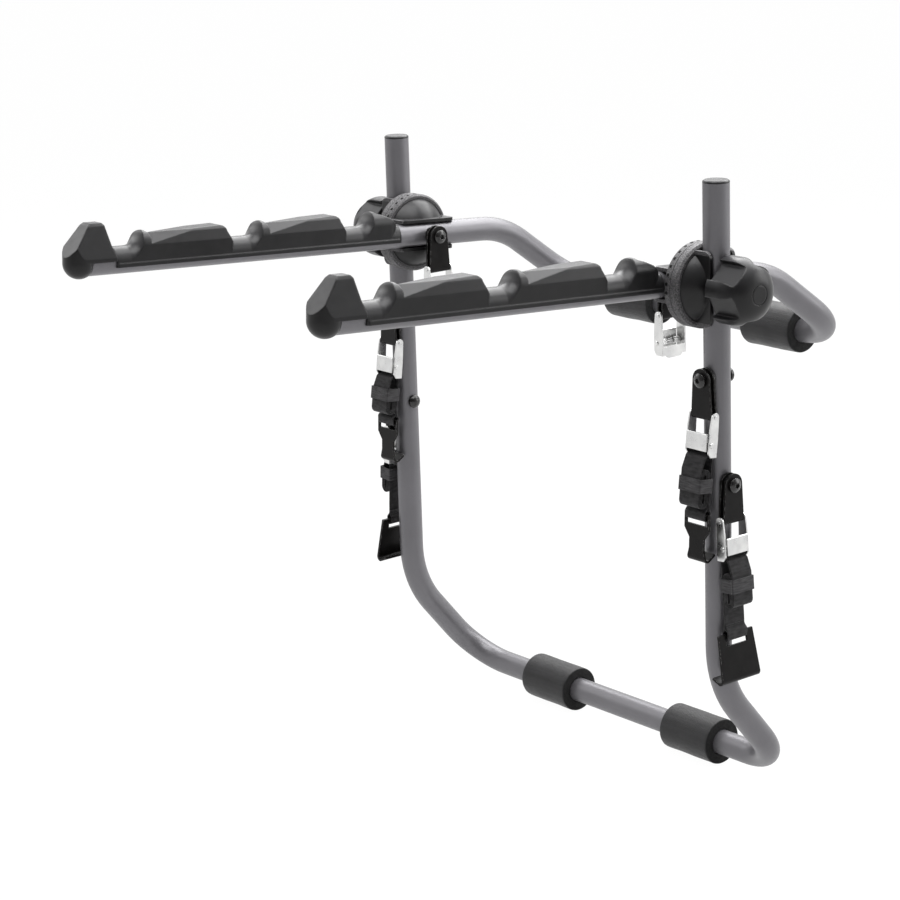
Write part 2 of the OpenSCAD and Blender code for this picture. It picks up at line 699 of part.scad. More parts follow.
module webbing(s) color(textile) at_bar(s) across(web_w) {
    polygon(ribbon(roll_path(s[3]), web_t));
    polygon(ribbon(loop_path(hook_z(s)), web_t));
    polygon(ribbon(sewn_path(hook_z(s)), web_t));
}

// Elastic band round the roll and the strap behind it
module band(s) color(elastic) at_bar(s) {
    rear = strap_y - web_t / 2 - face_gap;
    front = roll_y + roll_front + web_t / 2 + face_gap;
    half = web_w / 2 + face_gap;
    low = band_up - buckle_len - s[3];
    translate([0, 0, low]) linear_extrude(height = band_h) difference() {
        union() {
            translate([-half - band_t, rear]) square([2 * (half + band_t), front - rear]);
            translate([-half, rear - band_t]) square([2 * half, front - rear + 2 * band_t]);
            for (x = [-half, half]) for (y = [rear, front]) translate([x, y]) circle(r = band_t);
        }
        translate([-half, rear]) square([2 * half, front - rear]);
    }
}

// Hooks: the side view is one bent plate, cut to its front outline

function hook_path() =
    let (c = [-hook_bend_r, -hook_h], e = [cos(hook_turn), -sin(hook_turn)])
    concat([[0, 2 * hook_bar]], curve(c, hook_bend_r, 0, -hook_turn, 14),
        [c + hook_bend_r * e - hook_leg * [-e[1], e[0]]]);

// Shoulders, a waist and a straight foot
module narrow_outline() {
    shoulder = hook_slot + 6;
    foot_w = hook_neck_w + 4;
    waist = -shoulder - 9;
    polygon([[-hook_top_w / 2, hook_bar - 1.5], [hook_top_w / 2, hook_bar - 1.5],
        [hook_top_w / 2, -shoulder], [hook_neck_w / 2, waist], [hook_neck_w / 2, 8 - hook_h],
        [foot_w / 2, -hook_h], [foot_w / 2, -2 * hook_h], [-foot_w / 2, -2 * hook_h],
        [-foot_w / 2, -hook_h], [-hook_neck_w / 2, 8 - hook_h], [-hook_neck_w / 2, waist],
        [-hook_top_w / 2, -shoulder]]);
}

module wide_outline() {
    top = wide_hook_w / 2 - 1.5;
    foot = wide_hook_w / 2 + 1;
    polygon([[-top, hook_bar - 1.5], [top, hook_bar - 1.5], [foot, -hook_h], [foot, -2 * hook_h],
        [-foot, -2 * hook_h], [-foot, -hook_h]]);
}

module hook(s) color(black_steel) at_hook(s) intersection() {
    across(2 * wide_hook_w) polygon(ribbon(hook_path(), hook_t));
    forward(2 * wide_hook_w, 4 * wide_hook_w) difference() {
        if (s[2] == FRONT) narrow_outline();
        else wide_outline();
        translate([-hook_slot_w / 2, -hook_slot - 1.5]) square([hook_slot_w, hook_slot]);
    }
}

// Drawing

lower_frame();
post_cap(left);  // post_cap_left
post_cap(right);  // post_cap_right
pad(-lower_pad_left_x);  // lower_pad_left
pad(lower_pad_right_x);  // lower_pad_right
hub_outer(left);  // hub_outer_left
hub_outer(right);  // hub_outer_right
hub_bolts();
knob_saddles();
strap_bolts();
strap_nuts();
strap_spacers();
arm_frame();
cradle(left);  // cradle_left
cradle(right);  // cradle_right
end_block(left);  // end_block_left
end_block(right);  // end_block_right
on_arms() translate(rear_bar) pad(-upper_pad_left_x);  // upper_pad_left
on_arms() translate(rear_bar) pad(upper_pad_right_x);  // upper_pad_right
hub_inner(left);  // hub_inner_left
hub_inner(right);  // hub_inner_right
hub_spacers();
knob(left);  // knob_left
knob(right);  // knob_right
for (s = STRAPS) {
    bracket(s);
    buckle(s);
    lever(s);
    pin(s);
}
for (s = WEBBED) {
    webbing(s);
    band(s);
    hook(s);
}
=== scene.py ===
"""Trunk mounted bicycle rack: camera, studio, finishes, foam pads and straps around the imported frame."""
import json
import math

import bmesh
import bpy
from mathutils import Matrix, Vector, noise


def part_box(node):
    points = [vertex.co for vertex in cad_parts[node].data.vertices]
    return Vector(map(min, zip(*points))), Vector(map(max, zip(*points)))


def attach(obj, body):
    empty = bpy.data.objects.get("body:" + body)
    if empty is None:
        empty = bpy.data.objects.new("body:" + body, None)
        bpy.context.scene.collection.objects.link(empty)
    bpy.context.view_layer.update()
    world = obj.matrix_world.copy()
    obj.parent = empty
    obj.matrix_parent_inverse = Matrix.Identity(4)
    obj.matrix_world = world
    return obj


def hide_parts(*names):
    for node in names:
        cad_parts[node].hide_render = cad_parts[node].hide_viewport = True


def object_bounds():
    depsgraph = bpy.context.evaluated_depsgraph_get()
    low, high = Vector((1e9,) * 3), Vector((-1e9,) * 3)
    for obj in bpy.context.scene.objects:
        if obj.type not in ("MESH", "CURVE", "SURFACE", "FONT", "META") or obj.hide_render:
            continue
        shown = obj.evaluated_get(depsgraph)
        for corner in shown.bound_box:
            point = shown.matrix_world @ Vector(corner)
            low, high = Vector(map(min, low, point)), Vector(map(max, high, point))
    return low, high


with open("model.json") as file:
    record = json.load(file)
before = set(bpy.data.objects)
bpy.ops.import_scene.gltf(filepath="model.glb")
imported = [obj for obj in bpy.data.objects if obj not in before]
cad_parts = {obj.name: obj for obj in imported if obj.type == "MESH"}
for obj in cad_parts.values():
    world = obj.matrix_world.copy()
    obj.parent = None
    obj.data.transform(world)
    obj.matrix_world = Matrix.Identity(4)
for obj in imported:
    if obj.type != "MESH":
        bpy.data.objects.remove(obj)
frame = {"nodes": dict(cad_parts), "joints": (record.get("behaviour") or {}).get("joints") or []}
cad_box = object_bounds()
scene = bpy.context.scene
parts = frame["nodes"]
joints = {j["name"]: j for j in frame["joints"]}
MM = 0.001
HUB_Y, HUB_Z = joints["arm_fold"]["pos_m"][1:]

# Camera fitted to the photo: where it stands, its three axes and its lens
CAMERA_AT = (1.93275, -1.76666, 0.96731)
CAMERA_AXES = ((0.63070, 0.77538, -0.03174), (-0.17653, 0.18318, 0.96710), (0.75568, -0.60434, 0.25241))
FOCAL_LENGTH, SENSOR_WIDTH, VIEW_END = 104.26, 36.0, 60.0

# Softboxes, all aimed at one spot: place, size and power
LIT_SPOT = (0, -0.1, 0.3)
SOFTBOXES = {
    "overhead_softbox": ((0.3, -0.3, 2.1), (1.6, 1.2), 32),
    "back_softbox": ((-0.5, 1.2, 1.9), (3.0, 1.3), 68),
    "left_softbox": ((-1.8, -0.8, 1.5), (1.2, 1.2), 10),
    "right_softbox": ((1.5, 2.0, 1.2), (1.4, 1.4), 20),
}

# White world: its light on the object, and the dim side behind the camera that glossy faces mirror
WORLD_LIGHT = 0.21
DIM_WAY, DIM_START, DIM_END, DIM_LEVEL = (0.74, -0.63, 0.1), 0.1, 0.9, 0.12

# Paper floor
FLOOR_REACH, FLOOR_CELLS, FLOOR_DROP = 12, 8, 0.0005
PAPER_COLOUR, PAPER_ROUGH, PAPER_SPECULAR = (0.86, 0.86, 0.86, 1), 0.9, 0.1
PAPER_GLOW, GLOW_SHARE = 1.045, 0.94
WHITE = (1, 1, 1, 1)

# Darker and paler end of each finish
TONES = {
    "paint": ((0.129, 0.126, 0.1345), (0.188, 0.184, 0.196)),
    "moulding": ((0.0062, 0.0060, 0.0064), (0.0098, 0.0095, 0.0101)),
    "hub": ((0.0068, 0.0066, 0.0069), (0.0104, 0.0101, 0.0105)),
    "rim_grit": ((0.020, 0.0195, 0.0205), (0.135, 0.131, 0.136)),
    # Paler rim speckle used on up-facing faces: a painted highlight
    "rim_painted_highlight": ((0.10, 0.0985, 0.1015), (0.52, 0.513, 0.526)),
    "zinc": ((0.60, 0.60, 0.60), (0.78, 0.78, 0.77)),
    "coating": ((0.0050, 0.0045, 0.0044), (0.0086, 0.0078, 0.0076)),
    "foam_skin": ((0.0035, 0.0033, 0.0037), (0.021, 0.0203, 0.0218)),
    "foam_cells": ((0.002, 0.002, 0.002), (0.009, 0.009, 0.009)),
    "webbing": ((0.004, 0.0038, 0.004), (0.034, 0.0325, 0.0345)),
    "elastic": ((0.012, 0.0116, 0.0122), (0.070, 0.0675, 0.0712)),
    "thread": ((0.02, 0.02, 0.021), (0.05, 0.05, 0.052)),
    "dot": ((0.002, 0.002, 0.002), (0.005, 0.005, 0.005)),
}
# Paler plastic colour for moulding edges and up-facing faces; on the up-facing faces it is a painted highlight of
# light from above
PALE_EDGE_AND_TOP_HIGHLIGHT = (0.058, 0.057, 0.0605, 1)
# Pale grey for patches along black steel edges: worn-through steel, and a painted highlight of light off sheared
# edges
BARE_STEEL_AND_EDGE_HIGHLIGHT = (0.34, 0.335, 0.33, 1)
EDGE_START, EDGE_END, EDGE_SAMPLES = 0.02, 0.2, 6

# Hub rim: where the dome ends, and the index dots on the inner halves
RIM_START, RIM_END = 0.0356, 0.0362
DOT_X, DOT_REACH, DOT_COUNT = 0.2129, 0.0405, 9
DOT_FIRST, DOT_SWEEP, DOT_LINE_STEPS = -2, 96, 40
DOT_SIZE, DOT_HEIGHT = 0.0032, 0.0005

# Foam sleeves, in metres: bore, rounded rim, eased bore edge, and how far the skin lies inside the CAD sleeve
FOAM_BORE, FOAM_RIM, BORE_EDGE, SKIN_DROP = 0.0129, 0.0013, 0.0006, 0.0004
FOAM_TURNS, END_RINGS, RIM_RINGS, SIDE_RINGS = 88, 6, 5, 20
TRUE_BORE = 0.002
COARSE_SCALE, COARSE_DEPTH, FINE_SCALE, FINE_DEPTH = 45, 0.00035, 160, 0.00012
END_SCALE, END_SHARE = 120, 0.004

# Straps, in millimetres from the buckle's bar
WEB = {"width": 26.0, "thick": 1.3, "gap": 0.5, "turns": 3, "core": 1.1, "lead": 17.0}
BUCKLE_LEN, PIN_Z, WEB_TOP = 38.0, -26.22, -25.02
STRAP_Y, TAIL_Y = -3.25, -2.0
ROLLS = {"front_left": 40.0, "front_right": 49.0, "side_left": 35.0, "side_right": 46.0}
LEAN = {"top": 0.0, "front": 7.5, "side": 4.0}
PITCH = WEB["thick"] + WEB["gap"]
ROLL_FRONT = WEB["core"] + WEB["turns"] * PITCH
ROLL_Y = STRAP_Y + PITCH + WEB["core"] + (WEB["turns"] - 1) * PITCH
TOP_STEPS, LOW_STEPS = 16, 20
TAIL_RISE, TAIL_OUT, TAIL_DROP, TAIL_LEN, TAIL_STEPS = 4, 6, 6.3, 7, 16
WEB_RIPPLE, BAND_RIPPLE = 0.25, 0.3

# Sewn loop round the hook's bar, heights from that bar
LOOP_R, LOOP_STEPS, LOOP_EASE = 2.8, 10, 4
BULGE, BULGE_UP, NECK_UP, STRAIGHT_UP = 3.4, 5, 10, 20
PLY_START, PLY_START_UP = 0.75, 8
PLY_BACK, PLY_LOW, PLY_HIGH = 1.2, 8.2, 13
STITCH_ROWS, STITCH_FRONT, STITCH_BACK, STITCH_HALF = (8.9, 10.6, 12.3), 0.68, -1.9, 11
STITCH_LEN, STITCH_THICK = 2.1, 0.6

# Elastic bands
BAND = {"height": 13.5, "thick": 1.2, "above": 15, "clear": 0.3, "corner": 0.6, "corner_steps": 5, "step": 1.2}

# Lever springs
COILS, COIL_STEPS, COIL_R, COIL_HALF, WIRE_SIZE = 6, 18, 2.25, 4.4, 0.8
PIN_OUT, LEG_OUT, LEG_DROP = 3.7, 2.3, 1.4


# Node helpers

def add_object(name, data):
    made = bpy.data.objects.new(name, data)
    scene.collection.objects.link(made)
    return made


def put(tree, kind, inputs=(), **settings):
    """New node with its settings, and each input given as a number, a colour or another node's output."""
    node = tree.nodes.new(kind)
    for key, value in settings.items():
        setattr(node, key, value)
    for key, value in dict(inputs).items():
        if isinstance(value, bpy.types.NodeSocket):
            tree.links.new(value, node.inputs[key])
        else:
            node.inputs[key].default_value = value
    return node


def math_of(tree, operation, a, b=0.0):
    return put(tree, "ShaderNodeMath", {0: a, 1: b}, operation=operation).outputs[0]


def times(tree, a, b):
    return math_of(tree, "MULTIPLY", a, b)


def plus(tree, a, b, share=1.0):
    """The first value and a share of the second."""
    return math_of(tree, "ADD", a, times(tree, b, share))


def rest_of(tree, value):
    return math_of(tree, "SUBTRACT", 1.0, value)


def arches(tree, value):
    """A row of humps, one for each unit of the value."""
    return math_of(tree, "ABSOLUTE", math_of(tree, "SINE", times(tree, value, math.pi)))


def dot_of(tree, a, b):
    return put(tree, "ShaderNodeVectorMath", {0: a, 1: b}, operation="DOT_PRODUCT").outputs["Value"]


def span(tree, factor, low, high, start=0.3, end=0.7):
    """Number that runs from low to high as the factor runs from start to end."""
    return put(tree, "ShaderNodeMapRange", {"Value": factor, 1: start, 2: end, 3: low, 4: high}).outputs[0]


def blend(tree, share, under, over):
    return put(tree, "ShaderNodeMix", {"Factor": share, 6: under, 7: over}, data_type="RGBA").outputs[2]


def between(tree, factor, tone, start=0.3, end=0.7):
    """Colour that runs from a tone's darker to its paler end as the factor runs from start to end."""
    low, high = TONES[tone]
    return blend(tree, span(tree, factor, 0.0, 1.0, start, end), (*low, 1), (*high, 1))


def object_coords(tree, scale=(1, 1, 1), shift=(0, 0, 0)):
    coords = put(tree, "ShaderNodeTexCoord").outputs["Object"]
    return put(tree, "ShaderNodeMapping", {"Vector": coords, "Scale": scale, "Location": shift}).outputs[0]


def grain(tree, coords, scale, detail=2.0, rough=0.5):
    return put(tree, "ShaderNodeTexNoise", {"Vector": coords, "Scale": scale, "Detail": detail,
                                            "Roughness": rough}).outputs[0]


def raised(tree, height, depth, strength, normal=None):
    inputs = {"Height": height, "Distance": depth, "Strength": strength}
    if normal is not None:
        inputs["Normal"] = normal
    return put(tree, "ShaderNodeBump", inputs).outputs[0]


def rounded(tree, radius):
    return put(tree, "ShaderNodeBevel", {"Radius": radius}, samples=EDGE_SAMPLES).outputs[0]


def edge_share(tree, soft_normal):
    """How far the rounded normal turns away from the face's own: near one on edges."""
    face = put(tree, "ShaderNodeNewGeometry").outputs["Normal"]
    return span(tree, rest_of(tree, dot_of(tree, soft_normal, face)), 0.0, 1.0, EDGE_START, EDGE_END)


def upward(tree):
    """One on faces that look up at rest, zero on upright ones."""
    normal = put(tree, "ShaderNodeTexCoord").outputs["Normal"]
    return put(tree, "ShaderNodeSeparateXYZ", {0: normal}).outputs[2]


# Studio

def place_camera():
    lens = bpy.data.cameras.new("product_camera")
    lens.lens = FOCAL_LENGTH
    lens.sensor_width = SENSOR_WIDTH
    lens.clip_end = VIEW_END
    camera = add_object("product_camera", lens)
    camera.matrix_world = Matrix.Translation(CAMERA_AT) @ Matrix(CAMERA_AXES).transposed().to_4x4()
    scene.camera = camera


def softbox(name, place, size, power):
    lamp = bpy.data.lights.new(name, "AREA")
    lamp.shape = "RECTANGLE"
    lamp.size, lamp.size_y = size
    lamp.energy = power
    box = add_object(name, lamp)
    box.location = place
    box.visible_camera = False
    box.rotation_euler = (Vector(LIT_SPOT) - Vector(place)).to_track_quat("-Z", "Y").to_euler()


def seen_directly(tree):
    """One for rays from the camera, reflections and transmission, zero for light that falls on the object."""
    path = put(tree, "ShaderNodeLightPath").outputs
    most = math_of(tree, "MAXIMUM", path["Is Camera Ray"], path["Is Glossy Ray"])
    return math_of(tree, "MAXIMUM", most, path["Is Transmission Ray"]), path["Is Camera Ray"]


def light_studio():
    world = bpy.data.worlds.new("white_studio")
    scene.world = world
    world.use_nodes = True
    tree = world.node_tree
    sky = tree.nodes["Background"]
    seen, camera_ray = seen_directly(tree)
    heading = put(tree, "ShaderNodeTexCoord").outputs["Generated"]
    dim = span(tree, dot_of(tree, heading, DIM_WAY), 1.0, DIM_LEVEL, DIM_START, DIM_END)
    mirrored = math_of(tree, "MAXIMUM", dim, camera_ray)
    strength = plus(tree, times(tree, mirrored, seen), rest_of(tree, seen), WORLD_LIGHT)
    tree.links.new(strength, sky.inputs["Strength"])
    sky.inputs["Color"].default_value = WHITE
    for name, (place, size, power) in SOFTBOXES.items():
        softbox(name, place, size, power)


def lay_floor():
    """White paper that glows to the camera and in reflections, and keeps a little of the object's shadow."""
    mesh = bpy.data.meshes.new("studio_floor")
    shape = bmesh.new()
    bmesh.ops.create_grid(shape, x_segments=FLOOR_CELLS, y_segments=FLOOR_CELLS, size=FLOOR_REACH)
    shape.to_mesh(mesh)
    shape.free()
    floor = add_object("studio_floor", mesh)
    floor.location.z = cad_box[0].z - FLOOR_DROP
    paper, tree, shader = new_finish("white_paper", Base_Color=PAPER_COLOUR, Roughness=PAPER_ROUGH,
                                     Specular_IOR_Level=PAPER_SPECULAR)
    seen, _ = seen_directly(tree)
    glow = put(tree, "ShaderNodeEmission", {"Color": WHITE, "Strength": PAPER_GLOW})
    share = times(tree, seen, GLOW_SHARE)
    both = put(tree, "ShaderNodeMixShader", {0: share, 1: shader.outputs[0], 2: glow.outputs[0]})
    tree.links.new(both.outputs[0], tree.nodes["Material Output"].inputs["Surface"])
    mesh.materials.append(paper)


# Finishes

def new_finish(name, **constants):
    finish = bpy.data.materials.new(name)
    finish.use_nodes = True
    shader = finish.node_tree.nodes["Principled BSDF"]
    for key, value in constants.items():
        shader.inputs[key.replace("_", " ")].default_value = value
    return finish, finish.node_tree, shader


def connect(tree, shader, colour, rough, normal=None):
    tree.links.new(colour, shader.inputs["Base Color"])
    tree.links.new(rough, shader.inputs["Roughness"])
    if normal is not None:
        tree.links.new(normal, shader.inputs["Normal"])


def tube_paint_finish():
    finish, tree, shader = new_finish("silver_grey_paint", Metallic=0.5, Coat_Weight=0.12, Coat_Roughness=0.25)
    coords = object_coords(tree)
    flake = grain(tree, coords, scale=3200, detail=1.0)
    cloud = grain(tree, coords, scale=22, detail=3.0)
    mixed = plus(tree, times(tree, flake, 0.6), cloud, share=0.4)
    peel = grain(tree, coords, scale=420, detail=1.5)
    connect(tree, shader, between(tree, mixed, "paint"), span(tree, cloud, low=0.38, high=0.48),
            raised(tree, peel, depth=0.00006, strength=0.5))
    return finish


def moulding_nodes(name, tone, edge_radius):
    """Moulded plastic, paler along its edges; faces that look up are paler too, a painted highlight of light from
    above.
    """
    finish, tree, shader = new_finish(name, Specular_IOR_Level=0.30)
    coords = object_coords(tree)
    cloud = grain(tree, coords, scale=45, detail=3.0)
    sand = grain(tree, coords, scale=1500)
    soft = rounded(tree, edge_radius)
    # Painted highlight: base colour paler on faces that look up, for light from above
    top_highlight = span(tree, upward(tree), low=0.0, high=0.5, start=0.1, end=0.85)
    # Mask of the paler edges and of the painted top highlight
    pale_edge_and_highlight = math_of(tree, "MAXIMUM", times(tree, edge_share(tree, soft), 0.35), top_highlight)
    tint = blend(tree, pale_edge_and_highlight, between(tree, cloud, tone), PALE_EDGE_AND_TOP_HIGHLIGHT)
    rough = span(tree, grain(tree, coords, scale=130), low=0.28, high=0.38)
    normal = raised(tree, sand, depth=0.00004, strength=0.35, normal=soft)
    return finish, tree, shader, tint, rough, normal, coords


def moulding_finish():
    finish, tree, shader, tint, rough, normal, _ = moulding_nodes("charcoal_moulding", "moulding", 0.0022)
    connect(tree, shader, tint, rough, normal)
    return finish


def hub_finish():
    """Moulding whose rim, beyond the dome, is spark-textured, and paler where it looks up: a painted highlight of
    light from above.
    """
    finish, tree, shader, tint, rough, normal, coords = moulding_nodes("hub_moulding", "hub", 0.0010)
    from_axis = object_coords(tree, (0, 1, 1), (0, -HUB_Y, -HUB_Z))
    reach = put(tree, "ShaderNodeVectorMath", {0: from_axis}, operation="LENGTH").outputs["Value"]
    rim = span(tree, reach, 0.0, 1.0, RIM_START, RIM_END)
    speck = grain(tree, coords, scale=950, detail=3.0, rough=0.7)
    grit, rim_lit = (between(tree, speck, tone, start=0.38, end=0.64) for tone in ("rim_grit", "rim_painted_highlight"))
    # Painted highlight: the rim's speckled colour paler on faces that look up, for light from above
    top_highlight = span(tree, upward(tree), low=0.0, high=0.5, start=0.25, end=0.9)
    colour = blend(tree, rim, tint, blend(tree, top_highlight, grit, rim_lit))
    pits = raised(tree, times(tree, speck, rim), depth=0.00025, strength=0.7, normal=normal)
    connect(tree, shader, colour, plus(tree, rough, rim, share=0.25), pits)
    return finish


def zinc_finish(name, rib=0.0):
    """Bright plating with drawing lines, and upright pressed ribs where their pitch is given."""
    finish, tree, shader = new_finish(name, Metallic=1.0)
    coords = object_coords(tree)
    cloud = grain(tree, coords, scale=90, detail=3.0)
    drawn = grain(tree, object_coords(tree, (500, 500, 3500)), scale=1.0)
    normal = raised(tree, drawn, depth=0.00003, strength=0.35, normal=rounded(tree, 0.0005))
    if rib:
        place = put(tree, "ShaderNodeSeparateXYZ", {0: coords}).outputs
        beside = math_of(tree, "ADD", place[0], place[1])
        wave = math_of(tree, "SINE", times(tree, beside, 2 * math.pi / rib))
        normal = raised(tree, wave, depth=0.00008, strength=0.6, normal=normal)
    connect(tree, shader, between(tree, cloud, "zinc"), span(tree, cloud, low=0.24, high=0.4), normal)
    return finish


def black_steel_finish(name, specular, smooth, rough):
    """Black coating on steel, paler in patches along its edges: bare steel where worn, and a painted highlight of
    light off the sheared edges.
    """
    finish, tree, shader = new_finish(name, Specular_IOR_Level=specular)
    coords = object_coords(tree)
    cloud = grain(tree, coords, scale=70, detail=3.0)
    soft = rounded(tree, 0.0007)
    scuffs = span(tree, grain(tree, coords, scale=420, detail=3.0), low=0.0, high=0.9, start=0.42, end=0.62)
    # Patches along edges: edge wear, and a painted highlight of the sheared edges
    edge_wear_and_highlight = times(tree, edge_share(tree, soft), scuffs)
    pebble = grain(tree, coords, scale=520, detail=1.5)
    connect(tree, shader, blend(tree, edge_wear_and_highlight, between(tree, cloud, "coating"), BARE_STEEL_AND_EDGE_HIGHLIGHT),
            span(tree, cloud, smooth, rough), raised(tree, pebble, depth=0.00005, strength=0.4, normal=soft))
    return finish


def foam_finish():
    """Closed-cell foam: a skin with streaks along the sleeve, and open cells on the cut ends."""
    finish, tree, shader = new_finish("sleeve_foam", Specular_IOR_Level=0.32, Sheen_Weight=0.05, Sheen_Roughness=0.5)
    streak = grain(tree, object_coords(tree, (12, 260, 260)), scale=1.0, detail=3.0)
    cells = put(tree, "ShaderNodeTexVoronoi", {"Vector": object_coords(tree), "Scale": 1100.0}).outputs["Distance"]
    facing = put(tree, "ShaderNodeSeparateXYZ", {0: put(tree, "ShaderNodeNewGeometry").outputs["True Normal"]})
    cut = span(tree, math_of(tree, "ABSOLUTE", facing.outputs[0]), 0.0, 1.0, start=0.75, end=0.95)
    raw = between(tree, cells, "foam_cells", start=0.1, end=0.7)
    rough = plus(tree, span(tree, streak, low=0.33, high=0.5), cut, share=0.5)
    relief = plus(tree, streak, cells, share=0.6)
    connect(tree, shader, blend(tree, cut, between(tree, streak, "foam_skin"), raw), rough,
            raised(tree, relief, depth=0.0005, strength=0.8))
    return finish


def woven_finish(name, tone, yarn, pick, sheen, slub):
    """Weave from the ribbon's own lengths: yarns side by side across it, picks along it, every second one shifted."""
    finish, tree, shader = new_finish(name, Specular_IOR_Level=0.25, Sheen_Weight=sheen, Sheen_Roughness=0.4)
    along, across = (put(tree, "ShaderNodeAttribute", attribute_name=way).outputs["Fac"]
                     for way in ("along", "across"))
    column = math_of(tree, "DIVIDE", across, yarn)
    always_positive = 1000.0
    count = math_of(tree, "ADD", math_of(tree, "FLOOR", column), always_positive)
    row = plus(tree, math_of(tree, "DIVIDE", along, pick), math_of(tree, "MODULO", count, 2.0), share=0.5)
    hump = math_of(tree, "POWER", arches(tree, row), 0.6)
    rib = math_of(tree, "POWER", arches(tree, column), 0.5)
    weave = times(tree, hump, rib)
    threads = put(tree, "ShaderNodeCombineXYZ", {0: math_of(tree, "DIVIDE", along, slub[0]),
                                                 1: math_of(tree, "DIVIDE", across, slub[1])}).outputs[0]
    uneven = span(tree, grain(tree, threads, scale=1.0, detail=1.0), 0.0, 1.0, start=0.32, end=0.68)
    # Colour darker in the gaps between yarns and between picks, a painted shade of the weave's hollows, mixed with
    # uneven yarn tone
    gap_shade_and_yarn_tone = plus(tree, times(tree, weave, 0.45), uneven, share=0.55)
    fuzz = grain(tree, object_coords(tree), scale=260, detail=3.0)
    connect(tree, shader, between(tree, gap_shade_and_yarn_tone, tone, start=0.1, end=0.9), span(tree, fuzz, low=0.62, high=0.8),
            raised(tree, weave, depth=0.00022, strength=0.8))
    return finish


def thread_finish():
    finish, tree, shader = new_finish("black_thread", Sheen_Weight=0.3)
    twist = put(tree, "ShaderNodeTexWave", {"Vector": object_coords(tree), "Scale": 900.0,
                                            "Distortion": 2.0}).outputs[1]
    connect(tree, shader, between(tree, twist, "thread"), span(tree, twist, low=0.5, high=0.7))
    return finish


def dot_finish():
    finish, tree, shader = new_finish("index_dot_black", Specular_IOR_Level=0.15)
    cloud = grain(tree, object_coords(tree), scale=900)
    connect(tree, shader, between(tree, cloud, "dot"), span(tree, cloud, low=0.5, high=0.65))
    return finish


# Geometry node trees

def new_tree(name, inputs):
    tree = bpy.data.node_groups.new(name, "GeometryNodeTree")
    tree.interface.new_socket("Geometry", in_out="INPUT", socket_type="NodeSocketGeometry")
    for label, kind in inputs:
        tree.interface.new_socket(label, in_out="INPUT", socket_type="NodeSocket" + kind)
    tree.interface.new_socket("Geometry", in_out="OUTPUT", socket_type="NodeSocketGeometry")
    return tree, put(tree, "NodeGroupInput").outputs


def end_tree(tree, geometry, finish):
    whole = put(tree, "GeometryNodeRealizeInstances", {"Geometry": geometry}).outputs[0]
    painted = put(tree, "GeometryNodeSetMaterial", {"Geometry": whole, "Material": finish}).outputs[0]
    put(tree, "NodeGroupOutput", {0: painted})


def smoothed(tree, geometry):
    return put(tree, "GeometryNodeSetShadeSmooth", {"Geometry": geometry}).outputs[0]


def kept_as(tree, geometry, name, value):
    return put(tree, "GeometryNodeStoreNamedAttribute", {
        "Geometry": geometry, "Name": name, "Value": value}).outputs[0]


def swept(tree, path, section):
    return put(tree, "GeometryNodeCurveToMesh", {
        "Curve": path, "Profile Curve": section, "Fill Caps": True}).outputs[0]


def position(tree):
    return put(tree, "GeometryNodeInputPosition").outputs[0]


def ribbon_tree():
    """Flat ribbon along each spline, keeping its own lengths along and across for the weave."""
    tree, given = new_tree("ribbon_along_path", [
        ("Width", "Float"), ("Thickness", "Float"), ("Across", "Vector"), ("Ripple", "Float"),
        ("Material", "Material")])
    length = put(tree, "GeometryNodeSplineParameter").outputs["Length"]
    measured = kept_as(tree, given["Geometry"], "along", length)
    turned = put(tree, "GeometryNodeSetCurveNormal", {"Curve": measured, "Normal": given["Across"]}, mode="FREE")
    section = put(tree, "GeometryNodeCurvePrimitiveQuadrilateral", {
        "Width": given["Width"], "Height": given["Thickness"]})
    fine = put(tree, "GeometryNodeResampleCurve", {"Curve": section.outputs[0], "Length": 0.00065}, mode="LENGTH")
    side = put(tree, "ShaderNodeSeparateXYZ", {0: position(tree)}).outputs[0]
    ribbon = swept(tree, turned.outputs[0], kept_as(tree, fine.outputs[0], "across", side))
    waves = put(tree, "ShaderNodeTexNoise", {"Scale": 90.0, "Detail": 1.0})
    lift = times(tree, math_of(tree, "SUBTRACT", waves.outputs[0], 0.5), given["Ripple"])
    outward = put(tree, "GeometryNodeInputNormal").outputs[0]
    offset = put(tree, "ShaderNodeVectorMath", {0: outward, "Scale": lift}, operation="SCALE").outputs[0]
    moved = put(tree, "GeometryNodeSetPosition", {"Geometry": ribbon, "Offset": offset})
    end_tree(tree, smoothed(tree, moved.outputs[0]), given["Material"])
    return tree


def stitch_tree():
    """Short thread stitches laid end to end along each spline."""
    tree, given = new_tree("stitches_along_path", [
        ("Length", "Float"), ("Thickness", "Float"), ("Material", "Material")])
    pitch = times(tree, given["Length"], 1.3)
    spots = put(tree, "GeometryNodeCurveToPoints", {"Curve": given["Geometry"], "Length": pitch}, mode="LENGTH")
    bead = put(tree, "GeometryNodeMeshUVSphere", {"Segments": 8, "Rings": 6, "Radius": 0.5})
    size = put(tree, "ShaderNodeCombineXYZ", {0: given["Thickness"], 1: given["Thickness"], 2: given["Length"]})
    laid = put(tree, "GeometryNodeInstanceOnPoints", {
        "Points": spots.outputs["Points"], "Instance": bead.outputs[0], "Rotation": spots.outputs["Rotation"],
        "Scale": size.outputs[0]})
    end_tree(tree, smoothed(tree, laid.outputs[0]), given["Material"])
    return tree


def wire_tree():
    """Round wire along each spline, with closed ends."""
    tree, given = new_tree("wire_along_path", [("Diameter", "Float"), ("Material", "Material")])
    ring = put(tree, "GeometryNodeCurvePrimitiveCircle", {
        "Resolution": 10, "Radius": times(tree, given["Diameter"], 0.5)})
    wire = swept(tree, given["Geometry"], ring.outputs[0])
    end_tree(tree, smoothed(tree, wire), given["Material"])
    return tree


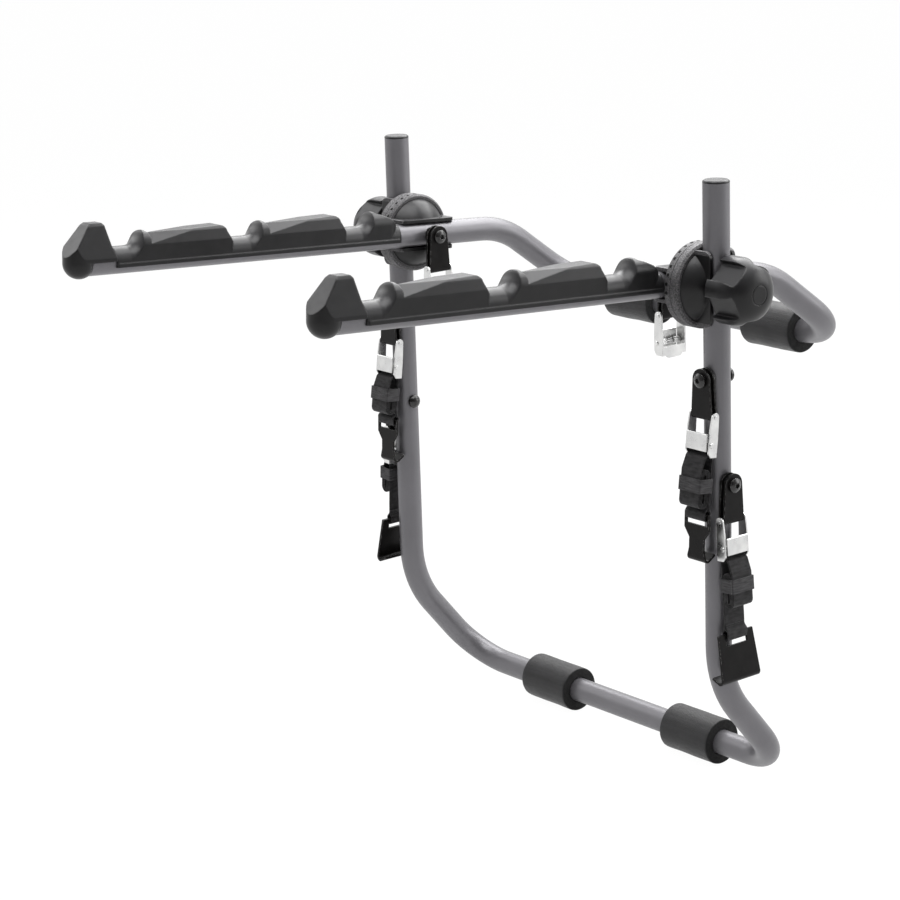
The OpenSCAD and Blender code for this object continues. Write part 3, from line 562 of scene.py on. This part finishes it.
def dot_tree():
    """Round pips standing on points spread along each spline, facing away from an axis."""
    tree, given = new_tree("pips_on_rim", [
        ("Count", "Int"), ("Diameter", "Float"), ("Height", "Float"), ("Centre", "Vector"),
        ("Material", "Material")])
    spots = put(tree, "GeometryNodeCurveToPoints", {"Curve": given["Geometry"], "Count": given["Count"]},
                mode="COUNT")
    pip = put(tree, "GeometryNodeMeshCylinder", {
        "Vertices": 14, "Depth": given["Height"], "Radius": times(tree, given["Diameter"], 0.5)})
    away = put(tree, "ShaderNodeVectorMath", {0: position(tree), 1: given["Centre"]}, operation="SUBTRACT")
    upright = put(tree, "FunctionNodeAlignRotationToVector", {"Vector": away.outputs[0]}, axis="Z")
    laid = put(tree, "GeometryNodeInstanceOnPoints", {
        "Points": spots.outputs["Points"], "Instance": pip.outputs[0], "Rotation": upright.outputs[0]})
    end_tree(tree, laid.outputs[0], given["Material"])
    return tree


def grow(name, paths, tree, settings, closed=False):
    """Mesh piece that a node tree makes from paths of points."""
    line = bpy.data.curves.new(name, "CURVE")
    line.dimensions = "3D"
    for path in paths:
        spline = line.splines.new("POLY")
        spline.points.add(len(path) - 1)
        for point, place in zip(spline.points, path):
            point.co = (*place, 1)
        spline.use_cyclic_u = closed
    guide = add_object(name + "_guide", line)
    step = guide.modifiers.new("make", "NODES")
    step.node_group = tree
    for socket in tree.interface.items_tree:
        if socket.name in settings:
            step[socket.identifier] = settings[socket.name]
    bpy.context.view_layer.update()
    ready = guide.evaluated_get(bpy.context.evaluated_depsgraph_get())
    mesh = bpy.data.meshes.new_from_object(ready)
    mesh.name = name
    guide.modifiers.remove(step)
    bpy.data.objects.remove(guide)
    return add_object(name, mesh)


# Foam pads

def sleeve_profile(half, outer):
    """Place along the sleeve and radius, from the bore's one end over the skin to its other end."""
    flat = outer - FOAM_RIM - FOAM_BORE
    near = [(-half + BORE_EDGE, FOAM_BORE), (-half, FOAM_BORE + BORE_EDGE)]
    near += [(-half, FOAM_BORE + flat * k / END_RINGS) for k in range(1, END_RINGS + 1)]
    near += [(-half + FOAM_RIM * (1 - math.cos(a)), outer - FOAM_RIM * (1 - math.sin(a)))
             for a in (math.pi / 2 * k / RIM_RINGS for k in range(1, RIM_RINGS + 1))]
    side = [(-half + FOAM_RIM + (2 * half - 2 * FOAM_RIM) * k / SIDE_RINGS, outer) for k in range(1, SIDE_RINGS)]
    return near + side + [(-x, r) for x, r in reversed(near)]


def foam_pad(name, node, body, seed):
    """Sleeve of foam round the tube: cut ends, softened rims and a slightly uneven skin."""
    low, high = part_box(node)
    middle = (low + high) / 2
    shape = bmesh.new()
    rings = []
    for x, r in sleeve_profile((high.x - low.x) / 2, (high.z - low.z) / 2):
        ring = []
        for k in range(FOAM_TURNS):
            a = 2 * math.pi * k / FOAM_TURNS
            spot = Vector((x, math.cos(a) * r, math.sin(a) * r))
            give = noise.noise(spot * COARSE_SCALE + Vector((seed, 0, 0))) * COARSE_DEPTH
            give += noise.noise(spot * FINE_SCALE) * FINE_DEPTH
            if r > FOAM_BORE + TRUE_BORE:
                spot.y *= 1 + (give - SKIN_DROP) / r
                spot.z *= 1 + (give - SKIN_DROP) / r
                spot.x *= 1 + (noise.noise(spot * END_SCALE) - 0.5) * END_SHARE
            ring.append(shape.verts.new(middle + spot))
        rings.append(ring)
    for first, second in zip(rings, rings[1:] + rings[:1]):
        for k in range(FOAM_TURNS):
            n = (k + 1) % FOAM_TURNS
            shape.faces.new((first[k], first[n], second[n], second[k]))
    bmesh.ops.recalc_face_normals(shape, faces=shape.faces)
    mesh = bpy.data.meshes.new(name)
    shape.to_mesh(mesh)
    shape.free()
    mesh.shade_smooth()
    mesh.materials.append(FOAM)
    pad = add_object(name, mesh)
    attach(pad, body)
    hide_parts(node)


# Straps

def strap_frame(name):
    """Place and turn of a strap: X across it, Y away from the post, Z up along it, from the buckle's bar."""
    bar = joints["buckle_%s_tip" % name]
    across = Vector(bar["axis"])
    up = Vector((0, 0, 1))
    turn = Matrix((across, up.cross(across), up)).transposed()
    lean = Matrix.Rotation(math.radians(LEAN[name.split("_")[0]]), 3, "X")
    return Matrix.Translation(bar["pos_m"]) @ (turn @ lean).to_4x4()


def placed(local, points):
    """Points of a strap, in millimetres across it, outwards and up, put where the strap is."""
    return [local @ Vector((x * MM, y * MM, z * MM)) for x, y, z in points]


def arc(centre, radius, start, end, count):
    turns = [math.radians(start + (end - start) * k / count) for k in range(count + 1)]
    return [(centre[0] + radius * math.cos(a), centre[1] + radius * math.sin(a)) for a in turns]


def eased(points, count):
    """The same line with a smooth curve through its points."""
    line = []
    for k in range(len(points) - 1):
        a, b, c, d = (Vector(points[min(max(k + j, 0), len(points) - 1)]) for j in (-1, 0, 1, 2))
        for step in range(count):
            t = step / count
            line.append(tuple(0.5 * (2 * b + (c - a) * t + (2 * a - 5 * b + 4 * c - d) * t * t
                                     + (3 * b - a - 3 * c + d) * t ** 3)))
    return line + [points[-1]]


def roll_line(depth):
    """Spare webbing from the core of its roll outwards, then up through the buckle."""
    top = -BUCKLE_LEN - WEB["lead"]
    low = ROLL_FRONT - PITCH / 2 + WEB["thick"] / 2 - BUCKLE_LEN - depth
    line = []
    for k in range(WEB["turns"]):
        line += arc((ROLL_Y, top), WEB["core"] + k * PITCH, 0, 180, TOP_STEPS)
        line += arc((ROLL_Y + PITCH / 2, low), WEB["core"] + (k + 0.5) * PITCH, 180, 360, LOW_STEPS)
    line.append((ROLL_Y + ROLL_FRONT, top + TAIL_RISE))
    bend = PIN_Z - TAIL_DROP
    for step in range(TAIL_STEPS + 1):
        u = step / TAIL_STEPS
        inward = (1 - math.cos(math.pi * u)) / 2
        line.append((TAIL_OUT + (TAIL_Y - TAIL_OUT) * inward, bend - TAIL_LEN * (1 - u)))
    return line + [(TAIL_Y, WEB_TOP)]


def loop_line(z):
    """Webbing from the buckle down round the hook's bar and back up to where it is sewn."""
    line = [(STRAP_Y, WEB_TOP), (STRAP_Y, z + STRAIGHT_UP), (STRAP_Y, z + NECK_UP), (STRAP_Y + BULGE, z + BULGE_UP)]
    line += arc((STRAP_Y, z), LOOP_R, 0, -180, LOOP_STEPS)
    line += [(STRAP_Y - BULGE, z + BULGE_UP), (STRAP_Y - PLY_START, z + PLY_START_UP)]
    return eased(line, LOOP_EASE)


def band_line():
    """Rounded rectangle round the roll and the strap, across and outwards, in short steps."""
    reach = WEB["thick"] / 2 + BAND["clear"]
    rear, front = STRAP_Y - reach, ROLL_Y + ROLL_FRONT + reach
    half = WEB["width"] / 2 + BAND["clear"]
    ring = []
    for cx, cy, start in ((half, front, 0), (-half, front, 90), (-half, rear, 180), (half, rear, 270)):
        ring += arc((cx, cy), BAND["corner"], start, start + 90, BAND["corner_steps"])
    fine = []
    for a, b in zip(ring, ring[1:] + ring[:1]):
        steps = max(1, int(math.dist(a, b) / BAND["step"]))
        fine += [(a[0] + (b[0] - a[0]) * s / steps, a[1] + (b[1] - a[1]) * s / steps) for s in range(steps)]
    return fine


def dress_strap(name):
    """Webbing, stitches and elastic band of one strap."""
    body = "strap_" + name
    local = strap_frame(name)
    turn = local.to_3x3()
    z = (local.inverted() @ Vector(joints["hook_%s_sway" % name]["pos_m"])).z / MM
    ply = [(STRAP_Y - PLY_BACK, z + PLY_LOW), (STRAP_Y - PLY_BACK, z + PLY_HIGH)]
    paths = [placed(local, [(0, y, h) for y, h in line]) for line in (roll_line(ROLLS[name]), loop_line(z), ply)]
    cloth = grow("webbing_%s_woven" % name, paths, RIBBON, {
        "Width": WEB["width"] * MM, "Thickness": WEB["thick"] * MM, "Across": turn @ Vector((1, 0, 0)),
        "Ripple": WEB_RIPPLE * MM, "Material": WEBBING})
    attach(cloth, body)
    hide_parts("webbing_" + name)
    rows = [placed(local, [(x, STRAP_Y + y, z + h) for x in (-STITCH_HALF, STITCH_HALF)])
            for h in STITCH_ROWS for y in (STITCH_FRONT, STITCH_BACK)]
    stitches = grow("stitches_" + name, rows, STITCH, {
        "Length": STITCH_LEN * MM, "Thickness": STITCH_THICK * MM, "Material": THREAD})
    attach(stitches, body)
    level = BAND["above"] + BAND["height"] / 2 - BUCKLE_LEN - ROLLS[name]
    loop = placed(local, [(x, y, level) for x, y in band_line()])
    band = grow("band_%s_elastic" % name, [loop], RIBBON, {
        "Width": BAND["height"] * MM, "Thickness": BAND["thick"] * MM, "Across": turn @ Vector((0, 0, 1)),
        "Ripple": BAND_RIPPLE * MM, "Material": ELASTIC}, closed=True)
    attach(band, body)
    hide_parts("band_" + name)


def wind_spring(name):
    """Return spring of a cam lever: coils round the pin, with short ends held in the lever's slot."""
    pin_y = TAIL_Y + WEB["thick"] / 2 + PIN_OUT
    steps = COILS * COIL_STEPS
    legs = [(x, pin_y + LEG_OUT, PIN_Z - LEG_DROP) for x in (-COIL_HALF, COIL_HALF)]
    coil = []
    for k in range(steps + 1):
        a = 2 * math.pi * k / COIL_STEPS
        x = -COIL_HALF + 2 * COIL_HALF * k / steps
        coil.append((x, pin_y + COIL_R * math.cos(a), PIN_Z + COIL_R * math.sin(a)))
    line = placed(strap_frame(name), legs[:1] + coil + legs[1:])
    spring = grow("spring_" + name, [line], WIRE, {"Diameter": WIRE_SIZE * MM, "Material": SPRING})
    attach(spring, "strap_" + name)


# Hub index marks

def index_marks(side, sign):
    x = sign * DOT_X
    turns = [math.radians(DOT_FIRST + DOT_SWEEP * k / DOT_LINE_STEPS) for k in range(DOT_LINE_STEPS + 1)]
    line = [Vector((x, HUB_Y - math.sin(a) * DOT_REACH, HUB_Z + math.cos(a) * DOT_REACH)) for a in turns]
    dots = grow("index_dots_" + side, [line], PIPS, {
        "Count": DOT_COUNT, "Diameter": DOT_SIZE, "Height": DOT_HEIGHT, "Centre": (x, HUB_Y, HUB_Z),
        "Material": DOTS})
    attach(dots, "arms")


place_camera()
light_studio()
lay_floor()
scene.view_settings.view_transform = "Standard"

PAINT = tube_paint_finish()
MOULDING = moulding_finish()
HUB = hub_finish()
ZINC = zinc_finish("bright_zinc")
LEVER = zinc_finish("ribbed_zinc", rib=0.0016)
SPRING = zinc_finish("spring_wire")
BLACK = black_steel_finish("black_coated_steel", specular=0.13, smooth=0.26, rough=0.38)
BOLTS = black_steel_finish("black_oxide_bolts", specular=0.6, smooth=0.18, rough=0.28)
FOAM = foam_finish()
WEBBING = woven_finish("webbing_weave", "webbing", yarn=0.0013, pick=0.0021, sheen=0.12, slub=(0.0024, 0.009))
ELASTIC = woven_finish("elastic_weave", "elastic", yarn=0.0009, pick=0.0030, sheen=0.2, slub=(0.012, 0.0016))
THREAD = thread_finish()
DOTS = dot_finish()
RIBBON = ribbon_tree()
STITCH = stitch_tree()
PIPS = dot_tree()
WIRE = wire_tree()

# Finish of the CAD nodes by how their names start; every other node is black coated steel
COATS = {
    ("lower_frame", "arm_frame"): PAINT,
    ("lever",): LEVER,
    ("buckle", "pin"): ZINC,
    ("hub_inner", "hub_outer"): HUB,
    ("cradle", "end_block", "knob_left", "knob_right", "post_cap"): MOULDING,
    ("hub_bolts", "strap_bolts", "strap_nuts"): BOLTS,
}
for node, part in parts.items():
    coat = next((finish for starts, finish in COATS.items() if node.startswith(starts)), BLACK)
    part.data.materials.clear()
    part.data.materials.append(coat)

foam_pad("foam_lower_left", "lower_pad_left", "frame", 1)
foam_pad("foam_lower_right", "lower_pad_right", "frame", 2)
foam_pad("foam_upper_left", "upper_pad_left", "arms", 3)
foam_pad("foam_upper_right", "upper_pad_right", "arms", 4)
for strap in ROLLS:
    dress_strap(strap)
for row in LEAN:
    wind_spring(row + "_left")
    wind_spring(row + "_right")
index_marks("left", -1)
index_marks("right", 1)

bpy.context.view_layer.update()
